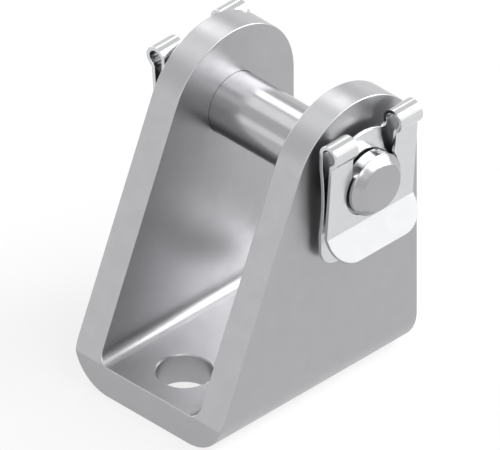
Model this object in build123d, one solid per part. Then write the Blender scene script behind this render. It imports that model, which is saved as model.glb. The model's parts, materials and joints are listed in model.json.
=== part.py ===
"""Cylinder clevis foot: a folded sheet bracket, its clevis pin and the two
spring clips that keep the pin in place.

Lengths are millimetres and +Z is up. The origin is the centre of the two base
holes, on the underside. X runs along the pin, from the far ear to the near
one. The ears slant back from the front (-Y) and stand upright at the rear.
"""
from build123d import *
from math import acos, atan2, cos, degrees, hypot, radians, sin
import os

# Folded sheet bracket
SHEET = 4.0
BRACKET_WIDTH = 24.1
BASE_LENGTH = 32.0
INNER_BEND = 1.5
KNEE_ROUND = 0.5
SHEAR_ROUND = 0.15

# Base holes, in line from front to rear and centred on the origin
HOLE_DIAMETER = 6.6
HOLE_SPACING = 20.0
HOLE_CHAMFER = 0.15

# Ears, round about the pin axis and flush with the rear edge of the base
AXIS_HEIGHT = 30.0
EAR_RADIUS = 10.0

# Clevis pin, with a groove near each end
PIN_DIAMETER = 7.97
PIN_CHAMFER = 1.0
PIN_TIP_LENGTH = 2.43
GROOVE_DEPTH = 0.985
GROOVE_CLEARANCE = 0.1
BORE_CLEARANCE = 0.04

# How far each clip stands off its ear: the pin floats by the sum of the two
NEAR_STAND_OFF = 0.85
FAR_STAND_OFF = 0.05

# Clip inner leaf: a flat foot, a bow that rides in the groove and an arched top edge
CLIP_SHEET = 0.5
SLOT_CLEARANCE = 0.06
BOW_RISE = 0.42
BOW_MARGIN = 0.61
FOOT_LENGTH = 5.0
FOOT_CORNER = 2.7
ARCH_LAND = 3.49
ARCH_CORNER = 0.5

# Clip curls
CURL_OFFSET = 0.15
CURL_RISE = 0.27
CURL_RADIUS = 1.48
CURL_TURN = 238.0
NECK_RADIUS = 0.4

# Clip outer leaf, open at the top and round below the pin's tip, with a lip
RECESS_CLEARANCE = 0.25
LEG_WIDTH = 2.77
MOUTH_STEP = 0.75
MOUTH_CORNER = 0.8
LIP_LAND = 0.7
LEAF_GAP = 0.44
LIP_LENGTH = 4.0
LIP_ANGLE = 32.3
LIP_CORNER = 3.3
LIP_BEND_RADIUS = 0.35

# Derived sizes of the bracket and pin
CLEVIS_GAP = BRACKET_WIDTH - 2 * SHEET
EAR_FACE = BRACKET_WIDTH / 2
AXIS_Y = BASE_LENGTH / 2 - EAR_RADIUS
PIN_RADIUS = PIN_DIAMETER / 2
BORE_RADIUS = PIN_RADIUS + BORE_CLEARANCE
GROOVE_RADIUS = PIN_RADIUS - GROOVE_DEPTH
GROOVE_WIDTH = BOW_RISE + CLIP_SHEET

# Derived sizes of the clip: heights are from the pin axis, widths from its middle
SLOT_RADIUS = GROOVE_RADIUS + SLOT_CLEARANCE
BOW_REACH = PIN_RADIUS + BOW_MARGIN
FOOT_END = -(BOW_REACH + FOOT_LENGTH)
ARCH_RADIUS = SLOT_RADIUS + ARCH_LAND
CURL_HEIGHT = ARCH_RADIUS + CURL_RISE
CLIP_TOP = CURL_HEIGHT + CURL_RADIUS
RECESS_RADIUS = PIN_RADIUS + RECESS_CLEARANCE
HALF_MOUTH = RECESS_RADIUS - MOUTH_STEP
HALF_CLIP = RECESS_RADIUS + LEG_WIDTH
LIP_BEND = (2 * CLIP_SHEET + LEAF_GAP, -(RECESS_RADIUS + LIP_LAND))


def channel():
    """The sheet folded to a U, before its ears are cut to shape."""
    top = AXIS_HEIGHT + EAR_RADIUS
    outer = Pos(0, top) * Rectangle(BRACKET_WIDTH, 2 * top)
    outer = fillet(outer.vertices().group_by(Axis.Y)[0], INNER_BEND + SHEET)
    inner = Pos(0, SHEET + top) * Rectangle(CLEVIS_GAP, 2 * top)
    inner = fillet(inner.vertices().group_by(Axis.Y)[0], INNER_BEND)
    return extrude(Plane.XZ * (outer - inner), BASE_LENGTH / 2, both=True)


def ear_outline():
    """The bracket's outline seen along the pin, upright in front as high as the base is thick."""
    front = -BASE_LENGTH / 2
    rear = BASE_LENGTH / 2
    reach = hypot(AXIS_Y - front, AXIS_HEIGHT - SHEET)
    bearing = atan2(SHEET - AXIS_HEIGHT, front - AXIS_Y)
    tangent = bearing - acos(EAR_RADIUS / reach)
    touch = (AXIS_Y + EAR_RADIUS * cos(tangent), AXIS_HEIGHT + EAR_RADIUS * sin(tangent))
    crown = (AXIS_Y, AXIS_HEIGHT + EAR_RADIUS)
    outline = make_face([
        Line((front, 0), (front, SHEET)),
        Line((front, SHEET), touch),
        ThreePointArc(touch, crown, (rear, AXIS_HEIGHT)),
        Line((rear, AXIS_HEIGHT), (rear, 0)),
        Line((rear, 0), (front, 0)),
    ])
    knee = outline.vertices().sort_by_distance((front, SHEET))[0]
    return fillet(knee, KNEE_ROUND)


def sheet_edges(folded):
    """The edges round both faces of the sheet, without its fold lines and square corners."""
    fold_lines = folded.edges().filter_by(Axis.Y)
    straight_across = folded.edges().filter_by(Axis.X)
    corners = straight_across.filter_by(lambda edge: abs(edge.center().X) > SHEET)
    return folded.edges() - fold_lines - corners


def bracket():
    """The folded bracket, with rounded edges, chamfered base holes and a bore in each ear."""
    folded = channel() & extrude(Plane.YZ * ear_outline(), BRACKET_WIDTH, both=True)
    folded = fillet(sheet_edges(folded), SHEAR_ROUND)
    holes = GridLocations(0, HOLE_SPACING, 1, 2) * Cylinder(HOLE_DIAMETER / 2, 4 * SHEET)
    drilled = folded - holes
    rims = (drilled.edges() - folded.edges()).filter_by(GeomType.CIRCLE)
    bores = Rot(0, 90, 0) * Cylinder(BORE_RADIUS, 2 * BRACKET_WIDTH)
    return chamfer(rims, HOLE_CHAMFER) - Pos(0, AXIS_Y, AXIS_HEIGHT) * bores


def pin_half(groove):
    """Points (along, out) of one half of the pin's outline, whose groove starts at this distance."""
    wall = groove + GROOVE_WIDTH
    tip = wall + PIN_TIP_LENGTH
    return [
        (groove, PIN_RADIUS),
        (groove, GROOVE_RADIUS),
        (wall, GROOVE_RADIUS),
        (wall, PIN_RADIUS),
        (tip - PIN_CHAMFER, PIN_RADIUS),
        (tip, PIN_RADIUS - PIN_CHAMFER),
        (tip, 0),
    ]


def clevis_pin():
    """The turned pin, with its grooves where the two clips stand."""
    near = pin_half(EAR_FACE + NEAR_STAND_OFF + GROOVE_CLEARANCE)
    far = pin_half(EAR_FACE + FAR_STAND_OFF + GROOVE_CLEARANCE)
    mirrored = [(-along, out) for along, out in reversed(far)]
    outline = make_face(Polyline(*mirrored, *near, close=True))
    return Pos(0, AXIS_Y, AXIS_HEIGHT) * revolve(Plane.XZ * outline, Axis.X)


def folded_strip(skin):
    """A strip as wide as the clip, folded so that its outer skin follows this line in the XZ plane."""
    outline = Wire(skin).offset_2d(CLIP_SHEET, kind=Kind.INTERSECTION, side=Side.RIGHT)
    return extrude(Plane.XZ * make_face(outline), HALF_CLIP, both=True)


def inner_leaf_outline():
    """The inner leaf seen along the pin: foot corners, open slot and arch between the curls."""
    height = CURL_HEIGHT - FOOT_END
    leaf = Pos(0, FOOT_END + height / 2) * Rectangle(2 * HALF_CLIP, height)
    leaf = fillet(leaf.vertices().group_by(Axis.Y)[0], FOOT_CORNER)
    leaf -= Pos(0, CURL_HEIGHT) * Rectangle(2 * HALF_MOUTH, 2 * CURL_HEIGHT) - Circle(ARCH_RADIUS)
    roots = leaf.vertices().filter_by(lambda point: 0 < point.Y < ARCH_RADIUS)
    leaf = fillet(roots, ARCH_CORNER)
    slot = Circle(SLOT_RADIUS) + Pos(0, FOOT_END) * Rectangle(2 * SLOT_RADIUS, -2 * FOOT_END)
    return leaf - slot


def inner_leaf():
    """The bowed leaf beside the ear, slotted from below to ride in the pin's groove."""
    bow_top = (CURL_OFFSET, BOW_REACH)
    strip = folded_strip([
        Line((0, FOOT_END), (0, -BOW_REACH)),
        ThreePointArc((0, -BOW_REACH), (BOW_RISE, 0), bow_top),
        Line(bow_top, (CURL_OFFSET, CURL_HEIGHT)),
    ])
    return strip & extrude(Plane.YZ * inner_leaf_outline(), HALF_CLIP, both=True)


def curl_line():
    """Skin line of the strips that rise from the inner leaf and roll over outwards."""
    start = (CURL_OFFSET, CURL_HEIGHT)
    centre = (CURL_OFFSET + CURL_RADIUS, CURL_HEIGHT)
    return Line((CURL_OFFSET, ARCH_RADIUS), start) + CenterArc(centre, CURL_RADIUS, 180, -CURL_TURN)


def leaf_line():
    """Skin line of the hollow neck below the curls, the outer leaf and the lip."""
    spread = CURL_RADIUS + NECK_RADIUS
    end_of_curl = radians(180 - CURL_TURN)
    neck_x = CURL_OFFSET + CURL_RADIUS + spread * cos(end_of_curl)
    neck_z = CURL_HEIGHT + spread * sin(end_of_curl)
    down = (LIP_BEND[0] - neck_x, LIP_BEND[1] - neck_z)
    touch = degrees(atan2(down[1], down[0]) - acos(NECK_RADIUS / hypot(*down))) % 360
    start = (360 - CURL_TURN) % 360
    neck = CenterArc((neck_x, neck_z), NECK_RADIUS, start, touch - start)
    slope = radians(LIP_ANGLE)
    lip_end = (LIP_BEND[0] + LIP_LENGTH * sin(slope), LIP_BEND[1] - LIP_LENGTH * cos(slope))
    return neck + FilletPolyline(neck @ 1, LIP_BEND, lip_end, radius=LIP_BEND_RADIUS)


def lip_blank():
    """A prism square to the lip, as wide as the clip and round at the lip's corners."""
    slope = radians(LIP_ANGLE)
    bend = (LIP_BEND[0], 0, LIP_BEND[1])
    lip_plane = Plane(bend, x_dir=(0, 1, 0), z_dir=(cos(slope), 0, sin(slope)))
    height = 2 * (CLIP_TOP - LIP_BEND[1]) + LIP_LENGTH
    blank = Pos(0, height / 2 - LIP_LENGTH) * Rectangle(2 * HALF_CLIP, height)
    blank = fillet(blank.vertices().group_by(Axis.Y)[0], LIP_CORNER)
    return extrude(lip_plane * blank, height, both=True)


def recess():
    """The cutter for the outer leaf: round about the pin's tip and straight up between the curls."""
    shape = Circle(RECESS_RADIUS) + Pos(0, CLIP_TOP) * Rectangle(2 * HALF_MOUTH, 2 * CLIP_TOP)
    corners = shape.vertices().filter_by(lambda point: 0 < point.Y < RECESS_RADIUS)
    return extrude(Plane.YZ * fillet(corners, MOUTH_CORNER), HALF_CLIP, both=True)


def clip():
    """One clip, with the pin axis and the plane of its ear through the origin and its lip towards +X."""
    outer_leaf = folded_strip(curl_line() + leaf_line()) & lip_blank()
    return inner_leaf() + (outer_leaf - recess())


def main():
    """Place the four pieces and write each one to its own file."""
    near = Pos(EAR_FACE + NEAR_STAND_OFF, AXIS_Y, AXIS_HEIGHT)
    far = Pos(-EAR_FACE - FAR_STAND_OFF, AXIS_Y, AXIS_HEIGHT) * Rot(0, 0, 180)
    pieces = {
        "bracket": bracket(),
        "clevis_pin": clevis_pin(),
        "near_clip": near * clip(),
        "far_clip": far * clip(),
    }
    os.makedirs("parts", exist_ok=True)
    for name, piece in pieces.items():
        export_step(piece, f"parts/{name}.step")


if __name__ == "__main__":
    main()
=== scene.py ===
"""Cylinder clevis foot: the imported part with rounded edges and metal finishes, in a plain studio.

Lengths are metres in the frame of the CAD part. +Z is up, X runs along the pin, and the origin
is the middle of the two base holes, on the floor.
"""
import json
import logging
import math
from dataclasses import dataclass
from enum import Enum
from typing import Any

import bpy
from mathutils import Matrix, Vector


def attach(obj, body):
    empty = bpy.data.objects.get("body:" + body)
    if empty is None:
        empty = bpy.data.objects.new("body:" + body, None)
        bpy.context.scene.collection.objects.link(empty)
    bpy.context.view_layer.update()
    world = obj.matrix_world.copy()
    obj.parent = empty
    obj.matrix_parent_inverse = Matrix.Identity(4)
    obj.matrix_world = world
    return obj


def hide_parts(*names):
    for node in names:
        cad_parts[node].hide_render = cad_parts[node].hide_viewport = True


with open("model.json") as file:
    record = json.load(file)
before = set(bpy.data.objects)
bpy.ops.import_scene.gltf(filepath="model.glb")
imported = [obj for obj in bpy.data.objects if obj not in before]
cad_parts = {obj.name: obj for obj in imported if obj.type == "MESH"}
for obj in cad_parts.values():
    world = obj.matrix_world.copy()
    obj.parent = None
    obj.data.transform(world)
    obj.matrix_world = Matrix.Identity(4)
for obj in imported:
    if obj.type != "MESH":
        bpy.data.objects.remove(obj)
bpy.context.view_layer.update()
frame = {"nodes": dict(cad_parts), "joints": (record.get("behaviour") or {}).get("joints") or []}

MM = 0.001

# A mix node gives its colour sockets the same names as its others, so they go by number.
MIX_SHARE, MIX_FIRST, MIX_SECOND, MIXED = 0, 6, 7, 2

log = logging.getLogger("clevis_foot")


class Part(Enum):
    """The pieces of the foot: CAD node, body that it rides on, and material slot."""

    BRACKET = ("bracket", "foot", "plated_sheet")
    PIN = ("clevis_pin", "pin", "ground_pin")
    NEAR_CLIP = ("near_clip", "clip_near", "spring_sheet")
    FAR_CLIP = ("far_clip", "clip_far", "spring_sheet")

    @property
    def node(self) -> str:
        """Name of the CAD node."""
        return self.value[0]

    @property
    def body(self) -> str:
        """Name of the body that the piece rides on."""
        return self.value[1]

    @property
    def slot(self) -> str:
        """Name of the record's material slot."""
        return self.value[2]


def linear(hex_colour: str) -> tuple[float, float, float, float]:
    """Turn an sRGB hex colour into linear light.

    Args:
        hex_colour: The colour as #RRGGBB.

    Returns:
        Red, green and blue in linear light, and alpha 1.
    """
    channels = [int(hex_colour[place:place + 2], 16) / 255 for place in (1, 3, 5)]
    curve = [c / 12.92 if c <= 0.04045 else ((c + 0.055) / 1.055) ** 2.4 for c in channels]
    return (*curve, 1.0)


def add_node(
    tree: bpy.types.NodeTree,
    kind: str,
    inputs: dict[str | int, Any] | None = None,
    **settings: Any,
) -> bpy.types.Node:
    """Add one node, set it up and fill its inputs.

    Args:
        tree: The node tree that gets the node.
        kind: The node's type name.
        inputs: Input name or number, and the value or the output socket that fills it.
        settings: Properties of the node itself.

    Returns:
        The new node.
    """
    node = tree.nodes.new(kind)
    for name, value in settings.items():
        setattr(node, name, value)
    for name, value in (inputs or {}).items():
        if isinstance(value, bpy.types.NodeSocket):
            tree.links.new(value, node.inputs[name])
        else:
            node.inputs[name].default_value = value
    return node


def empty_material(name: str) -> bpy.types.Material:
    """A new material with no nodes.

    Args:
        name: The material's name.

    Returns:
        The material.
    """
    material = bpy.data.materials.new(name)
    material.use_nodes = True
    material.node_tree.nodes.clear()
    return material


@dataclass(frozen=True)
class CloudedMetal:
    """Bare metal with soft clouds, bright and smooth in one place, dull and rougher in the next.

    The clouds' noise seldom leaves its middle range, so the roughness runs over that alone.
    """

    bright: str
    dull: str
    smooth: float
    rough: float
    cloud: float
    detail: float = 3.0
    detail_weight: float = 0.5
    middle_from: float = 0.3
    middle_to: float = 0.7

    def dress(
        self,
        tree: bpy.types.NodeTree,
        where: bpy.types.NodeSocket,
        normal: bpy.types.NodeSocket,
    ) -> None:
        """End a material's tree in this metal, with the shader's default IOR.

        Args:
            tree: The material's node tree.
            where: Output with the place on the piece.
            normal: Output with the normal of the metal's fine relief.
        """
        clouds = add_node(
            tree, "ShaderNodeTexNoise",
            {"Vector": where, "Scale": 1 / self.cloud,
             "Detail": self.detail, "Roughness": self.detail_weight},
        )
        share = clouds.outputs["Fac"]
        colour = add_node(
            tree, "ShaderNodeMix",
            {MIX_SHARE: share, MIX_FIRST: linear(self.dull), MIX_SECOND: linear(self.bright)},
            data_type="RGBA",
        )
        roughness = add_node(
            tree, "ShaderNodeMapRange",
            {"Value": share, "From Min": self.middle_from, "From Max": self.middle_to,
             "To Min": self.rough, "To Max": self.smooth},
        )
        metal = add_node(
            tree, "ShaderNodeBsdfPrincipled",
            {"Base Color": colour.outputs[MIXED], "Metallic": 1.0,
             "Roughness": roughness.outputs["Result"], "Normal": normal},
        )
        add_node(tree, "ShaderNodeOutputMaterial", {"Surface": metal.outputs["BSDF"]})


@dataclass(frozen=True)
class RollingLines:
    """Fine lines that the rolling leaves, which keep to planes square to Y."""

    pitch: float
    length: float
    depth: float

    def press(
        self, tree: bpy.types.NodeTree, where: bpy.types.NodeSocket
    ) -> bpy.types.NodeSocket:
        """Press the lines into a surface.

        Args:
            tree: The material's node tree.
            where: Output with the place on the piece.

        Returns:
            The output with the normal of the lines.
        """
        stretched = add_node(
            tree, "ShaderNodeMapping",
            {"Vector": where, "Scale": (1 / self.length, 1 / self.pitch, 1 / self.length)},
        )
        lines = add_node(
            tree, "ShaderNodeTexNoise",
            {"Vector": stretched.outputs["Vector"], "Scale": 1.0, "Detail": 2.0, "Roughness": 0.5},
        )
        pressed = add_node(
            tree, "ShaderNodeBump",
            {"Height": lines.outputs["Fac"], "Strength": 1.0, "Distance": self.depth},
        )
        return pressed.outputs["Normal"]


@dataclass(frozen=True)
class ZincPlatedSheet:
    """Cold rolled steel sheet, blanked, folded and barrel zinc plated.

    The plating is satin grey. It shows soft clouds of brighter and duller crystals a few
    millimetres across, a fine orange peel, and under it the sheet's rolling lines, which run up
    the ears and across the base.
    """

    metal: CloudedMetal = CloudedMetal(
        bright="#AEAEB0", dull="#A7A7A9", smooth=0.33, rough=0.39,
        cloud=2.4 * MM, detail=5.0, detail_weight=0.6,
    )
    lines: RollingLines = RollingLines(pitch=0.11 * MM, length=6.0 * MM, depth=0.0012 * MM)
    peel: float = 0.30 * MM
    peel_depth: float = 0.0010 * MM

    def material(self) -> bpy.types.Material:
        """Build the finish.

        Returns:
            The material.
        """
        material = empty_material("zinc_plated_sheet")
        tree = material.node_tree
        where = add_node(tree, "ShaderNodeTexCoord").outputs["Object"]
        orange_peel = add_node(
            tree, "ShaderNodeTexNoise",
            {"Vector": where, "Scale": 1 / self.peel, "Detail": 1.0, "Roughness": 0.4},
        )
        plated = add_node(
            tree, "ShaderNodeBump",
            {"Height": orange_peel.outputs["Fac"], "Strength": 1.0, "Distance": self.peel_depth,
             "Normal": self.lines.press(tree, where)},
        )
        self.metal.dress(tree, where, plated.outputs["Normal"])
        return material


@dataclass(frozen=True)
class TurnedPinSteel:
    """Free cutting steel bar, turned and left bright under thin clear plating.

    It is glossier than the sheet. The tool leaves fine rings round the shank and the ends,
    drawn at about twice their real pitch so that they show.
    """

    metal: CloudedMetal = CloudedMetal(
        bright="#ADADAF", dull="#A7A7A9", smooth=0.18, rough=0.24, cloud=3.0 * MM,
    )
    ring_pitch: float = 0.16 * MM
    ring_depth: float = 0.0006 * MM

    def material(self) -> bpy.types.Material:
        """Build the finish, with its rings round the axis that the pin turns on.

        Returns:
            The material.
        """
        material = empty_material("turned_pin_steel")
        tree = material.node_tree
        turn = next(joint for joint in frame["joints"] if joint["child"] == Part.PIN.body)
        _, axis_y, axis_z = turn["pos_m"]
        place = add_node(tree, "ShaderNodeTexCoord")
        centred = add_node(
            tree, "ShaderNodeMapping",
            {"Vector": place.outputs["Object"], "Location": (0.0, -axis_y, -axis_z)},
        )
        where = centred.outputs["Vector"]
        distance = add_node(tree, "ShaderNodeVectorMath", {0: where}, operation="LENGTH")
        turns = add_node(
            tree, "ShaderNodeMath",
            {0: distance.outputs["Value"], 1: math.tau / self.ring_pitch},
            operation="MULTIPLY",
        )
        rings = add_node(tree, "ShaderNodeMath", {0: turns.outputs[0]}, operation="SINE")
        turned = add_node(
            tree, "ShaderNodeBump",
            {"Height": rings.outputs[0], "Strength": 1.0, "Distance": self.ring_depth},
        )
        self.metal.dress(tree, where, turned.outputs["Normal"])
        return material


@dataclass(frozen=True)
class SpringStrip:
    """Hardened spring strip, bright rolled, slit and bent.

    It is the palest of the three, with a slightly cool tone, and carries fine lines along the
    strip, which follow it over its curls.
    """

    metal: CloudedMetal = CloudedMetal(
        bright="#D3D4D5", dull="#CCCDCE", smooth=0.14, rough=0.20, cloud=1.6 * MM,
    )
    lines: RollingLines = RollingLines(pitch=0.09 * MM, length=5.0 * MM, depth=0.0008 * MM)

    def material(self) -> bpy.types.Material:
        """Build the finish.

        Returns:
            The material.
        """
        material = empty_material("bright_spring_strip")
        tree = material.node_tree
        where = add_node(tree, "ShaderNodeTexCoord").outputs["Object"]
        self.metal.dress(tree, where, self.lines.press(tree, where))
        return material


def round_edges(part: Part, name: str, radius: float, steps: int) -> bpy.types.Object:
    """Copy a CAD node and round its sharp edges, as tumbling or a deburring tool does.

    Args:
        part: The piece whose node is copied.
        name: Name of the new piece.
        radius: Width of each edge's rounding.
        steps: Number of faces across each rounding.

    Returns:
        The new piece, which stands for the CAD node.
    """
    weld_within = 0.0001 * MM
    flat_within = math.radians(0.5)
    sharp_from = math.radians(40)
    piece = bpy.data.objects.new(name, frame["nodes"][part.node].data.copy())
    bpy.context.scene.collection.objects.link(piece)
    bpy.ops.object.select_all(action="DESELECT")
    bpy.context.view_layer.objects.active = piece
    piece.select_set(True)
    bpy.ops.mesh.customdata_custom_splitnormals_clear()
    bpy.ops.object.mode_set(mode="EDIT")
    bpy.ops.mesh.select_all(action="SELECT")
    bpy.ops.mesh.remove_doubles(threshold=weld_within)
    bpy.ops.mesh.dissolve_limited(angle_limit=flat_within)
    bpy.ops.mesh.faces_shade_smooth()
    bpy.ops.object.mode_set(mode="OBJECT")
    bpy.ops.object.modifier_add(type="BEVEL")
    rounding = piece.modifiers[-1]
    rounding.width = radius
    rounding.segments = steps
    rounding.limit_method = "ANGLE"
    rounding.angle_limit = sharp_from
    bpy.ops.object.modifier_apply(modifier=rounding.name)
    bpy.ops.object.modifier_add(type="WEIGHTED_NORMAL")
    bpy.ops.object.modifier_apply(modifier=piece.modifiers[-1].name)
    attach(piece, part.body)
    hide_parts(part.node)
    return piece


def wear(piece: bpy.types.Object, material: bpy.types.Material) -> bpy.types.Object:
    """Give a piece its one material.

    Args:
        piece: The piece.
        material: Its finish.

    Returns:
        The piece.
    """
    piece.data.materials.clear()
    piece.data.materials.append(material)
    return piece


@dataclass
class Bracket:
    """The folded sheet bracket, whose CAD node has its rounded edges already."""

    finish: ZincPlatedSheet = ZincPlatedSheet()

    def build(self) -> list[bpy.types.Object]:
        """Dress the CAD node.

        Returns:
            The bracket alone.
        """
        return [wear(frame["nodes"][Part.BRACKET.node], self.finish.material())]


@dataclass
class ClevisPin:
    """The turned pin, deburred at its grooves and chamfers."""

    edge_radius: float = 0.07 * MM
    edge_steps: int = 3
    finish: TurnedPinSteel = TurnedPinSteel()

    def build(self) -> list[bpy.types.Object]:
        """Round the pin's edges and dress it.

        Returns:
            The pin alone.
        """
        pin = round_edges(Part.PIN, "turned_pin", self.edge_radius, self.edge_steps)
        return [wear(pin, self.finish.material())]


@dataclass
class SpringClips:
    """The two spring clips, tumbled after bending."""

    edge_radius: float = 0.06 * MM
    edge_steps: int = 2
    finish: SpringStrip = SpringStrip()

    def build(self) -> list[bpy.types.Object]:
        """Round each clip's edges and dress both from one sheet of strip.

        Returns:
            The near clip and the far one.
        """
        names = {Part.NEAR_CLIP: "near_spring_clip", Part.FAR_CLIP: "far_spring_clip"}
        material = self.finish.material()
        return [
            wear(round_edges(part, name, self.edge_radius, self.edge_steps), material)
            for part, name in names.items()
        ]


@dataclass(frozen=True)
class Softbox:
    """A round area lamp that looks at the foot from an azimuth, counted from +X towards +Y.

    Angles are in degrees, and a brightness of 1 is plain white.
    """

    name: str
    azimuth: float
    elevation: float
    half_angle: float
    brightness: float
    distance: float = 0.9

    def build(self, aim: Vector) -> None:
        """Hang the lamp and point it at the foot.

        Args:
            aim: The point that it looks at.
        """
        turn, rise = math.radians(self.azimuth), math.radians(self.elevation)
        level = math.cos(rise)
        direction = Vector((math.cos(turn) * level, math.sin(turn) * level, math.sin(rise)))
        bpy.ops.object.light_add(type="AREA", location=aim + direction * self.distance)
        lamp = bpy.context.object
        lamp.name = self.name
        lamp.rotation_euler = direction.to_track_quat("Z", "Y").to_euler()
        radius = self.distance * math.tan(math.radians(self.half_angle))
        area = math.pi * radius**2
        lamp.data.shape = "DISK"
        lamp.data.size = 2 * radius
        # An even disk gives off pi times its brightness from each unit of its area.
        lamp.data.energy = self.brightness * math.pi * area
        log.info("lamp %s: %.2f W", self.name, lamp.data.energy)


@dataclass
class Studio:
    """Floor, lamps, world and camera.

    The camera and the lamps look at the aim, which the photograph's framing sets along with the
    view's width. The floor's glow and the world's strength for what is seen make both look white.
    """

    aim: tuple[float, float, float] = (-6.18 * MM, 6.90 * MM, 13.09 * MM)
    floor_side: float = 4.0
    floor_colour: str = "#FAFAFA"
    floor_glow: float = 0.78
    world_colour: str = "#FFFFFF"
    world_light: float = 0.05
    world_seen: float = 0.88
    viewed_from: tuple[float, float, float] = (1.0, -1.0, 1.0)
    view_width: float = 57.74 * MM
    camera_distance: float = 0.6
    nearest_shown: float = 10 * MM
    farthest_shown: float = 100.0
    lamps: tuple[Softbox, ...] = (
        Softbox("back_right", 46.0, 43.0, 15.0, 5.6),
        Softbox("back_right_low", 58.0, 18.0, 13.0, 8.0),
        Softbox("back", 66.0, 38.0, 11.0, 6.4),
        Softbox("overhead_right", 8.0, 54.0, 15.0, 4.0),
        Softbox("beside_camera", 325.0, 40.0, 12.0, 2.8),
        Softbox("left_low", 180.0, 16.0, 16.0, 4.8),
        Softbox("back_left_high", 144.0, 45.0, 11.0, 2.4),
        Softbox("back_low", 110.0, 14.0, 14.0, 1.2),
        Softbox("left", 194.0, 54.0, 15.0, 0.8),
        Softbox("front", 284.0, 23.0, 16.0, 1.6),
        Softbox("right_low", 36.0, 14.0, 9.0, 0.45),
        Softbox("front_left_low", 233.0, 6.0, 13.0, 0.6),
    )

    def seen(self, tree: bpy.types.NodeTree) -> bpy.types.NodeSocket:
        """Output that is 1 for what the camera, a gloss or a glass shows, and 0 for other light.

        Args:
            tree: The node tree that gets the nodes.

        Returns:
            The output socket.
        """
        path = add_node(tree, "ShaderNodeLightPath")
        shown = path.outputs["Is Camera Ray"]
        for ray in ("Is Glossy Ray", "Is Transmission Ray"):
            either = add_node(
                tree, "ShaderNodeMath", {0: shown, 1: path.outputs[ray]}, operation="MAXIMUM"
            )
            shown = either.outputs[0]
        return shown

    def build_floor(self) -> None:
        """Lay the plain pale floor, which keeps the foot's shadow."""
        bpy.ops.mesh.primitive_plane_add(size=self.floor_side)
        floor = bpy.context.object
        floor.name = "floor"
        material = empty_material("pale_floor")
        tree = material.node_tree
        matt = add_node(tree, "ShaderNodeBsdfDiffuse", {"Color": linear(self.floor_colour)})
        white = add_node(tree, "ShaderNodeEmission", {"Strength": 1.0})
        share = add_node(
            tree, "ShaderNodeMath", {0: self.seen(tree), 1: self.floor_glow}, operation="MULTIPLY"
        )
        both = add_node(
            tree, "ShaderNodeMixShader",
            {0: share.outputs[0], 1: matt.outputs["BSDF"], 2: white.outputs["Emission"]},
        )
        add_node(tree, "ShaderNodeOutputMaterial", {"Surface": both.outputs["Shader"]})
        floor.data.materials.append(material)

    def build_world(self) -> None:
        """Make the world white to look at and softer as a light."""
        world = bpy.data.worlds.new("studio_world")
        bpy.context.scene.world = world
        world.use_nodes = True
        tree = world.node_tree
        tree.nodes.clear()
        strength = add_node(
            tree, "ShaderNodeMapRange",
            {"Value": self.seen(tree), "To Min": self.world_light, "To Max": self.world_seen},
        )
        glow = add_node(
            tree, "ShaderNodeBackground",
            {"Color": linear(self.world_colour), "Strength": strength.outputs["Result"]},
        )
        add_node(tree, "ShaderNodeOutputWorld", {"Surface": glow.outputs["Background"]})

    def build_camera(self) -> None:
        """Set the camera to the photograph's isometric view."""
        back = Vector(self.viewed_from).normalized()
        bpy.ops.object.camera_add(location=Vector(self.aim) + back * self.camera_distance)
        camera = bpy.context.object
        camera.name = "camera"
        camera.rotation_euler = back.to_track_quat("Z", "Y").to_euler()
        camera.data.type = "ORTHO"
        camera.data.ortho_scale = self.view_width
        camera.data.clip_start = self.nearest_shown
        camera.data.clip_end = self.farthest_shown
        bpy.context.scene.camera = camera

    def build(self) -> None:
        """Build the whole studio."""
        self.build_floor()
        self.build_world()
        for lamp in self.lamps:
            lamp.build(Vector(self.aim))
        self.build_camera()
        bpy.context.scene.view_settings.view_transform = "Standard"


def main() -> None:
    """Build and report the pieces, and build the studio."""
    logging.basicConfig(level=logging.INFO)
    bpy.ops.object.select_all(action="DESELECT")
    for assembly in (Bracket(), ClevisPin(), SpringClips()):
        for piece in assembly.build():
            finish = piece.data.materials[0].name
            log.info("%s: %s, %d faces", piece.name, finish, len(piece.data.polygons))
    Studio().build()


if __name__ == "__main__":
    main()
